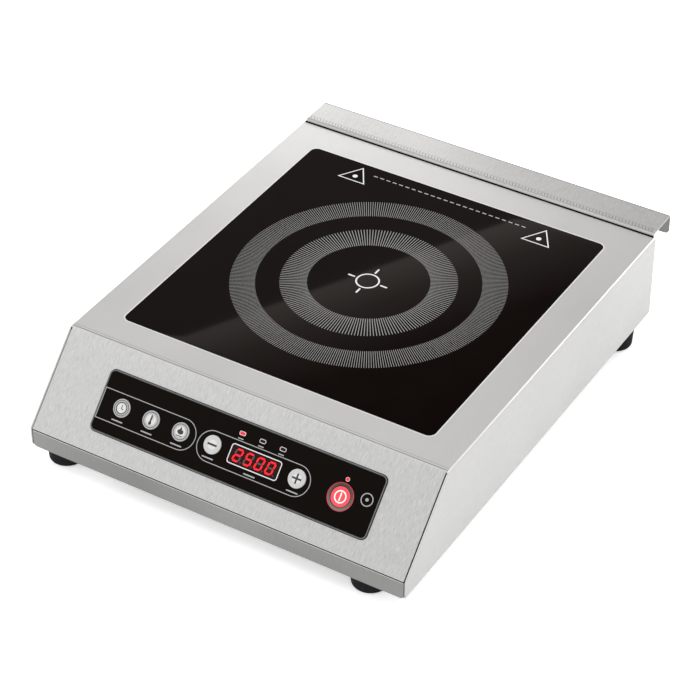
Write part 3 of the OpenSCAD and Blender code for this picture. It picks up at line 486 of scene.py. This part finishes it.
ZONE = varied("zone_grey", warm(0.225), warm(0.265), (0.4, 0.5), 900, bump=0.02, **DULL)
PRINT = varied("print_white", grey(0.30), grey(0.36), (0.4, 0.5), 900, bump=0.02, **DULL)
BRIGHT = varied("print_bright", grey(0.60), grey(0.68), (0.4, 0.5), 900, bump=0.02, **DULL)
# Dark print for the icons, also used as painted shade in the button grooves
ICON_AND_GROOVE_SHADE = varied("icon_and_groove_shade", (0.050, 0.042, 0.042), (0.070, 0.060, 0.060), (0.45, 0.55), 900, bump=0.02, **DULL)
FACE = varied("face_pale", grey(0.56), grey(0.62), (0.4, 0.5), 900, bump=0.02, **DULL)
# Painted shade: a grey for the lines along the front bend and for the fill in the left slit
GREY_SHADE = varied("bend_shade_grey", grey(0.15), grey(0.19), (0.4, 0.5), 500, bump=0.02, Metallic=0.5)
# Painted highlight: a lighter line for the bezel
BEZEL_HIGHLIGHT = varied("bezel_highlight", grey(0.17), grey(0.21), (0.3, 0.4), 600, bump=0.02, **DULL)
# Painted highlight: light lines on the cut edges of the sheets
EDGE_HIGHLIGHT = varied("painted_edge_highlight", grey(0.50), grey(0.60), (0.3, 0.4), 500, bump=0.02, Metallic=0.5)
# Tick grain, also used as painted shade along the canopy's bends
TICK_AND_SHADE = varied("tick_and_bend_shade", grey(0.11), grey(0.15), (0.4, 0.5), 500, bump=0.02, Metallic=0.5)
# Painted shade: a near-black laid into gaps and seams that would only be shadowed
SHADE = varied("painted_gap_shade", grey(0.003), grey(0.006), (0.6, 0.7), 500, bump=0.02, **DULL)

# Cooking zone: two bands of fine radial lines
lines = []
for count, r_in, r_out, width in ((360, 88.6, 108.7, 0.46), (180, 48.1, 69.7, 0.62)):
    for i in range(count):
        t = 2 * math.pi * i / count
        c, s = math.cos(t), math.sin(t)
        lines += ribbon([(r_in * c, RING_Y + r_in * s), (r_out * c, RING_Y + r_out * s)], width)
inlay("cooking_zone_rings", lines, on_top, 0.03, ZONE, thickness=0.06)

# Centre mark: a plain ring with four short ticks
mark = ring((-1.0, RING_Y), 9.0, 1.3, 48)
for turn in (0, 90, 180, 270):
    c, s = math.cos(math.radians(turn)), math.sin(math.radians(turn))
    mark += stroke((-1.0 + 12.0 * c, RING_Y + 12.0 * s), (-1.0 + 17.0 * c, RING_Y + 17.0 * s), 1.5)
inlay("centre_mark", mark, on_top, 0.03, BRIGHT, thickness=0.06)


# Plain triangles and the row of dashes between them
def triangle(x, y, half, height):
    return ribbon([(x - half, y), (x + half, y), (x, y + height)], 0.95, True)


sign_y = RING_Y + 113.3
signs = triangle(-84.8, sign_y, 12.0, 19.4) + triangle(86.5, sign_y - 0.4, 12.0, 19.4)
signs += disc((-84.8, sign_y + 6.4), 2.2, 20) + disc((86.5, sign_y + 6.0), 2.2, 20)
inlay("zone_signs", signs, on_top, 0.03, BRIGHT, thickness=0.06)

dashes = []
for i in range(24):
    x = -71.0 + i * 6.0
    dashes += stroke((x, sign_y + 14.4), (x + 2.8, sign_y + 14.4), 1.1)
inlay("zone_dashes", dashes, on_top, 0.03, PRINT, thickness=0.06)

# Panel outlines: one pill with a square left end and one with two round ends
line_w = 0.6
left_pill = [(-116.4, -34.1), (-116.4, -57.9)] + arc((-43.0, -46.0), 11.9, -90, 90, 28)
right_pill = arc((57.0, -46.2), 11.8, -90, 90, 28) + arc((-16.6, -46.2), 11.8, 90, 270, 28)
outlines = ribbon(left_pill, line_w, True) + ribbon(right_pill, line_w, True)
inlay("panel_outlines", outlines, on_slope, FILM + 0.04, PRINT)

# Plain bars where a control panel has its captions
captions = []
CAPTION_HALF = 4.5
for cx, cy in (TIMER, TEMP, POWER, DOWN, UP):
    captions += stroke((cx - CAPTION_HALF, cy - 10.3), (cx + CAPTION_HALF, cy - 10.3), 1.0)
for cx, cy in LEDS:
    captions += stroke((cx - 2.0, cy - 4.1), (cx + 2.0, cy - 4.1), 0.8)
captions += stroke((DISPLAY[0] - CAPTION_HALF, -55.8), (DISPLAY[0] + CAPTION_HALF, -55.8), 1.0)
captions += ring((114.8, -40.0), 4.6, 0.8, 40) + disc((114.8, -40.0), 1.3, 20)
inlay("panel_captions", captions, on_slope, FILM + 0.04, PRINT)

# Frames round the display and the indicator lights
frames = ribbon(rounded(DISPLAY, 42.9, 14.5, 2.1), 0.75, True)
for spot in LEDS:
    frames += ribbon(rounded(spot, 4.9, 2.7, 0.9, 5), 0.4, True)
frames += ring(DOT, 1.5, 0.3, 28)
inlay("light_frames", frames, on_slope, FILM + 0.05, BRIGHT)

# Display digits, in seven slanted segments each
SEGMENTS = {
    "a": ((0.0, 1.0), (1.0, 1.0)), "b": ((1.0, 1.0), (1.0, 0.5)), "c": ((1.0, 0.5), (1.0, 0.0)),
    "d": ((0.0, 0.0), (1.0, 0.0)), "e": ((0.0, 0.5), (0.0, 0.0)), "f": ((0.0, 1.0), (0.0, 0.5)),
    "g": ((0.0, 0.5), (1.0, 0.5)),
}
DIGITS = {"2": "abged", "5": "afgcd", "0": "abcdef"}
DIGIT_W, DIGIT_H, SEG_W, LEAN = 5.3, 8.9, 1.4, 0.16


def segment(centre, code):
    """One segment of a digit, as a flat bar with pointed ends."""
    (x0, y0), (x1, y1) = SEGMENTS[code]
    a = Vector(((x0 - 0.5) * DIGIT_W, (y0 - 0.5) * DIGIT_H))
    b = Vector(((x1 - 0.5) * DIGIT_W, (y1 - 0.5) * DIGIT_H))
    way = (b - a).normalized()
    side = Vector((-way.y, way.x)) * SEG_W / 2
    a, b = a + way * 0.16, b - way * 0.16
    nib = way * SEG_W / 2
    points = [a, a + nib - side, b - nib - side, b, b - nib + side, a + nib + side]
    return [(centre[0] + p.x + p.y * LEAN, centre[1] + p.y) for p in points]


lit, unlit = [], []
for i, digit in enumerate("2500"):
    centre = (DISPLAY[0] - 14.4 + i * 9.4, DISPLAY[1])
    for code in SEGMENTS:
        (lit if code in DIGITS[digit] else unlit).append(segment(centre, code))
    unlit += disc((centre[0] + 3.9, centre[1] - 4.4), 0.55, 12)
WINDOW = FILM - 0.15
inlay("display_digits", lit, on_slope, WINDOW + 0.05,
      glowing("digit_red", (0.82, 0.012, 0.020), 0.75), thickness=0.08)
inlay("display_unlit", unlit, on_slope, WINDOW + 0.04,
      varied("digit_off", (0.045, 0.026, 0.026), (0.060, 0.034, 0.034), (0.3, 0.4), 900, bump=0.02),
      thickness=0.08)
LIT = glowing("light_red", (0.85, 0.02, 0.03), 0.6)
inlay("power_light", [rounded(LEDS[0], 4.2, 2.0, 0.5, 5)], on_slope, FILM + 0.02, LIT)
inlay("on_off_light", disc(DOT, 1.2, 28), on_slope, FILM + 0.02, LIT)

# Button faces: a pale disc, and a dark ring of painted shade for the groove inside the cap's grey rim
for name, centre in (("timer", TIMER), ("temp", TEMP), ("power", POWER)):
    body = name + "_button"
    inlay(name + "_face", disc(centre, 5.9, 56), on_slope, CAP + 0.05, FACE, body, 0.3)
    # Painted shade: a flat dark ring where the groove would be shadowed
    inlay(name + "_groove_shade", ring(centre, 6.1, 0.85), on_slope, CAP + 0.09, ICON_AND_GROOVE_SHADE, body, 0.3)
for name, centre in (("down", DOWN), ("up", UP)):
    inlay(name + "_face", disc(centre, 6.6, 56), on_slope, CAP + 0.04, FACE,
          name + "_button", 0.3)

top = CAP + 0.1
x, y = TIMER
clock = ring(TIMER, 4.3, 0.75, 48) + ribbon([(x + 0.0, y + 2.5), (x, y - 0.3), (x + 1.9, y - 0.9)], 0.6)
inlay("timer_icon", clock, on_slope, top, ICON_AND_GROOVE_SHADE, "timer_button", 0.2)
x, y = TEMP
gauge = stroke((x, y - 1.6), (x, y + 3.3), 1.3) + disc((x, y - 2.6), 1.25, 20)
gauge += ribbon([(x + 0.9, y + 2.6), (x + 1.8, y + 2.6)], 0.35)
gauge += ribbon([(x + 0.9, y + 1.2), (x + 1.8, y + 1.2)], 0.35)
inlay("temp_icon", gauge, on_slope, top, ICON_AND_GROOVE_SHADE, "temp_button", 0.2)
x, y = POWER
flame = smooth_line([(x - 0.6, y - 1.9), (x - 2.3, y - 0.9), (x - 2.4, y + 0.7), (x - 1.1, y + 1.9),
                     (x - 0.6, y + 3.6), (x + 0.6, y + 2.2), (x + 0.7, y + 1.0), (x + 1.5, y + 1.7),
                     (x + 2.5, y + 0.2), (x + 2.2, y - 1.2), (x + 0.7, y - 1.9)], 5)
fire = [list(reversed(flame))] + ribbon([(x - 2.6, y - 3.2), (x + 2.4, y - 3.2)], 0.6)
inlay("power_icon", fire, on_slope, top, ICON_AND_GROOVE_SHADE, "power_button", 0.2)
x, y = DOWN
inlay("down_icon", ribbon([(x - 4.0, y), (x + 4.0, y)], 1.5), on_slope, top, ICON_AND_GROOVE_SHADE,
      "down_button", 0.2)
x, y = UP
plus = ribbon([(x - 3.9, y), (x + 3.9, y)], 1.4)
plus += ribbon([(x, y - 3.9), (x, y - 0.7)], 1.4) + ribbon([(x, y + 0.7), (x, y + 3.9)], 1.4)
inlay("up_icon", plus, on_slope, top, ICON_AND_GROOVE_SHADE, "up_button", 0.2)
x, y = ON_OFF
symbol = ring(ON_OFF, 4.4, 0.95, 56) + stroke((x, y - 2.9), (x, y + 2.9), 0.95)
inlay("on_off_symbol", symbol, on_slope, top,
      varied("symbol_white", grey(0.86), grey(0.92), (0.4, 0.5), 900, bump=0.02),
      "on_off_button", 0.2)
inlay("on_off_glow", ring(ON_OFF, 10.45, 0.4, 84), on_slope, FILM + 0.56,
      glowing("glow_red", (0.60, 0.03, 0.04), 0.1), thickness=0.2)

# Painted shade: two fine darker lines along the front bend, where the curve of the bend falls into shade
marks = []
for back, width in ((0.6, 0.5), (3.0, 0.28)):
    marks += ribbon([(-HALF_W + 1.4, Y_CREASE + back), (HALF_W - 1.4, Y_CREASE + back)], width)
inlay("crease_shade_lines", marks, on_top, 0.012, GREY_SHADE, thickness=0.02)

# Press-brake ticks along the canopy's front bend, with two thin lines of painted shade along that bend and a
# wider one along the rear bend
CANOPY_LOW, CANOPY_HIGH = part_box("rear_canopy")
CANOPY_LIFT = CANOPY_HIGH.z / MM - Z_TOP
CANOPY_HALF = CANOPY_HIGH.x / MM
bend_y = CANOPY_LOW.y / MM + 3.0
# Painted shade: two thin lines along the canopy's front bend
ticks = ribbon([(-CANOPY_HALF + 0.5, bend_y), (CANOPY_HALF - 0.5, bend_y)], 0.25)
ticks += ribbon([(-CANOPY_HALF + 0.5, bend_y + 4.2), (CANOPY_HALF - 0.5, bend_y + 4.2)], 0.2)
for i in range(110):
    x = -CANOPY_HALF + 3 + i * (2 * CANOPY_HALF - 6) / 109
    ticks += ribbon([(x, bend_y + 0.5), (x - 1.2, bend_y + 3.8)], 0.5)
# Painted shade: a wider dark line along the canopy's rear bend
rear_shade_y = CANOPY_HIGH.y / MM - 1.6
ticks += ribbon([(-CANOPY_HALF + 0.5, rear_shade_y), (CANOPY_HALF - 0.5, rear_shade_y)], 0.9)
inlay("canopy_ticks_and_shade", ticks, on_top, CANOPY_LIFT + 0.012, TICK_AND_SHADE, thickness=0.02)

# Painted shade: near-black strips in the slits, the front seam, round the bezel and before the canopy, where
# these gaps would only be shadowed; beside them, painted highlights on the cut edges of the sheets
slit_shade_strips, pale_slit_shade, seam_shade_strips = [], [], []
for side in (-1, 1):
    middle_x = side * (INNER_W - 0.5)
    start = -SLOPE_LEN - 0.4 if side > 0 else -3.4
    slit_shade_strips += ribbon([(middle_x, start), (middle_x, -1.6)], 0.98)
    if side < 0:
        pale_slit_shade += ribbon([(middle_x, -SLOPE_LEN - 0.4), (middle_x, -3.5)], 0.98)
    middle_x = side * (INNER_W - 0.35)
    seam_shade_strips += ribbon([(middle_x, 19.5), (middle_x, Z_TOP - SLOPE_DROP - 0.1)], 0.68)
z_strip = Z_TOP - SLOPE_DROP
seam_shade_strips += ribbon([(-INNER_W + 1.0, z_strip - 0.62), (INNER_W - 1.0, z_strip - 0.62)], 1.0)
# Painted highlight: a light line on the cut edge of the right side sheet
edges = ribbon([(HALF_W - 0.7, -SLOPE_LEN + 1.0), (HALF_W - 0.7, -3.0)], 0.7)
inlay("sheet_edge_highlight", edges, on_slope, 0.015, EDGE_HIGHLIGHT, thickness=0.02)
# Painted highlight: a light line along the top edge of the front strip
strip_highlight_line = ribbon([(-INNER_W + 1.4, z_strip - 1.45), (INNER_W - 1.4, z_strip - 1.45)], 0.4)
inlay("strip_edge_highlight", strip_highlight_line, on_front, 0.015, EDGE_HIGHLIGHT, thickness=0.02)
# Painted shade: a grey fill, lighter than the near-black strips, over most of the left slit
inlay("slit_shade_left", pale_slit_shade, on_slope, -0.12, GREY_SHADE, thickness=0.8)
# Painted shade: near-black strips in the slits and the front seams
inlay("slit_shade", slit_shade_strips, on_slope, -0.25, SHADE, thickness=0.8)
inlay("seam_shade", seam_shade_strips, on_front, -0.3, SHADE, thickness=0.6)
# Painted shade: a near-black strip in the gap before the canopy, and a thin one just before the canopy's
# front face
inlay("canopy_gap_shade", ribbon([(-INNER_W + 0.3, Y_TOP_REAR + 0.5), (INNER_W - 0.3, Y_TOP_REAR + 0.5)], 0.96),
      on_top, -0.5, SHADE, thickness=3.0)
inlay("canopy_joint_shade", ribbon([(-INNER_W + 0.3, Y_TOP_REAR + 0.95), (INNER_W - 0.3, Y_TOP_REAR + 0.95)], 0.08),
      on_top, 0.9, SHADE, thickness=1.5)
# Painted shadow: a near-black line round the outside of the bezel
inlay("bezel_shadow_line", ribbon(rounded((3.3, -43.6), 242.9, 49.6, 5.0), 0.4, True), on_slope, 0.06, SHADE,
      thickness=0.1)
# Painted highlight: a lighter line round the bezel
inlay("bezel_shine", ribbon(rounded((3.3, -43.6), 241.3, 48.0, 4.2), 0.45, True), on_slope, 0.93, BEZEL_HIGHLIGHT,
      thickness=0.1)

# ---------------------------------------------------------------- floor, light and camera
scene = bpy.context.scene
floor_mesh = bpy.data.meshes.new("floor")
size = 12.0
floor_mesh.from_pydata([(-size, -size, 0), (size, -size, 0), (size, size, 0), (-size, size, 0)], [],
                       [(0, 1, 2, 3)])
floor = bpy.data.objects.new("floor", floor_mesh)
scene.collection.objects.link(floor)
floor_mesh.materials.append(glowing("floor_white", grey(0.95), 0.45, 0.99))

world = bpy.data.worlds.new("studio")
scene.world = world
world.use_nodes = True
backdrop = world.node_tree.nodes["Background"]
backdrop.inputs["Color"].default_value = (1, 1, 1, 1)
backdrop.inputs["Strength"].default_value = 1.0


def softbox(name, centre, aim, width, depth, power):
    light = bpy.data.lights.new(name, "AREA")
    light.shape = "RECTANGLE"
    light.size, light.size_y = width, depth
    light.energy = power
    obj = bpy.data.objects.new(name, light)
    obj.location = centre
    obj.rotation_euler = (Vector(aim) - Vector(centre)).to_track_quat("-Z", "Y").to_euler()
    scene.collection.objects.link(obj)
    return obj


middle = (0, 0, 0.06)
softbox("key", (0.9, 1.3, 1.2), middle, 1.2, 1.2, 5)
softbox("fill", (-1.2, -1.0, 1.6), middle, 1.6, 1.6, 7)
softbox("overhead", (0.1, 0.2, 2.2), middle, 2.2, 2.2, 13.8)
softbox("rear_left", (-0.75, 1.15, 0.60), (-0.15, 0.1, 0.1), 0.4, 0.4, 2.0)
right = softbox("right", (1.4, -0.5, 0.7), middle, 1.2, 1.2, 0.3)
right.visible_glossy = False
rim = softbox("rim", (1.1, 1.2, 0.75), middle, 0.5, 0.5, 10)
rim.visible_diffuse = False

azimuth, elevation = math.radians(31.28), math.radians(37.99)
away = Vector((math.sin(azimuth) * math.cos(elevation), -math.cos(azimuth) * math.cos(elevation),
               math.sin(elevation)))
camera_data = bpy.data.cameras.new("camera")
camera_data.lens = 128.80
camera_data.sensor_width = 36
camera = bpy.data.objects.new("camera", camera_data)
camera.location = Vector((-0.03569, 0.04230, -0.00781)) + away * 2.05016
camera.rotation_euler = (-away).to_track_quat("-Z", "Y").to_euler()
scene.collection.objects.link(camera)
scene.camera = camera
# A soft lit card, seen only as a reflection, that falls across the glass from corner to corner
eye = camera.location
mirrored = Vector((eye.x, eye.y, 2 * Z_TOP * MM - eye.z))
card_centre = Vector((0, RING_Y * MM, Z_TOP * MM))
card_way = (card_centre - mirrored).normalized()
card_centre += card_way * 1.6
edge_way = Vector((132, 251)).normalized()
edge_out = Vector((edge_way.y, -edge_way.x))
edge_start = Vector((-73, -101.5))
card_verts = []
for along, out in ((-500, 0), (900, 0), (900, 420), (-500, 420)):
    spot = edge_start + edge_way * along + edge_out * out
    spot = Vector((spot.x, spot.y, Z_TOP)) * MM
    ray = spot - mirrored
    card_verts.append(mirrored + ray * ((card_centre - mirrored).dot(card_way) / ray.dot(card_way)))
card_mesh = bpy.data.meshes.new("light_card")
card_mesh.from_pydata(card_verts, [], [(0, 1, 2, 3)])
uv = card_mesh.uv_layers.new(name="across")
for loop, place in zip(uv.data, ((0, 0), (1, 0), (1, 1), (0, 1))):
    loop.uv = place
card = bpy.data.objects.new("light_card", card_mesh)
scene.collection.objects.link(card)
for ray_kind in ("visible_camera", "visible_diffuse", "visible_transmission", "visible_shadow"):
    setattr(card, ray_kind, False)
glow = Paint("card_glow", Roughness=1.0)
fade = glow.axis("UV", 1)
shine = glow.ramp(fade, [(0.0, (0.8, 0.72, 0.68)), (0.1, (0.34, 0.31, 0.29)),
                         (0.25, grey(0.05)), (0.55, grey(0.0))])
glow.set("Emission Color", shine)
glow.set("Base Color", glow.ramp(fade, [(0.0, grey(0.0)), (1.0, grey(0.001))]))
glow.shader.inputs["Emission Strength"].default_value = 6.5
card_mesh.materials.append(glow.material)

scene.view_settings.view_transform = "Standard"
scene.view_settings.look = "None"
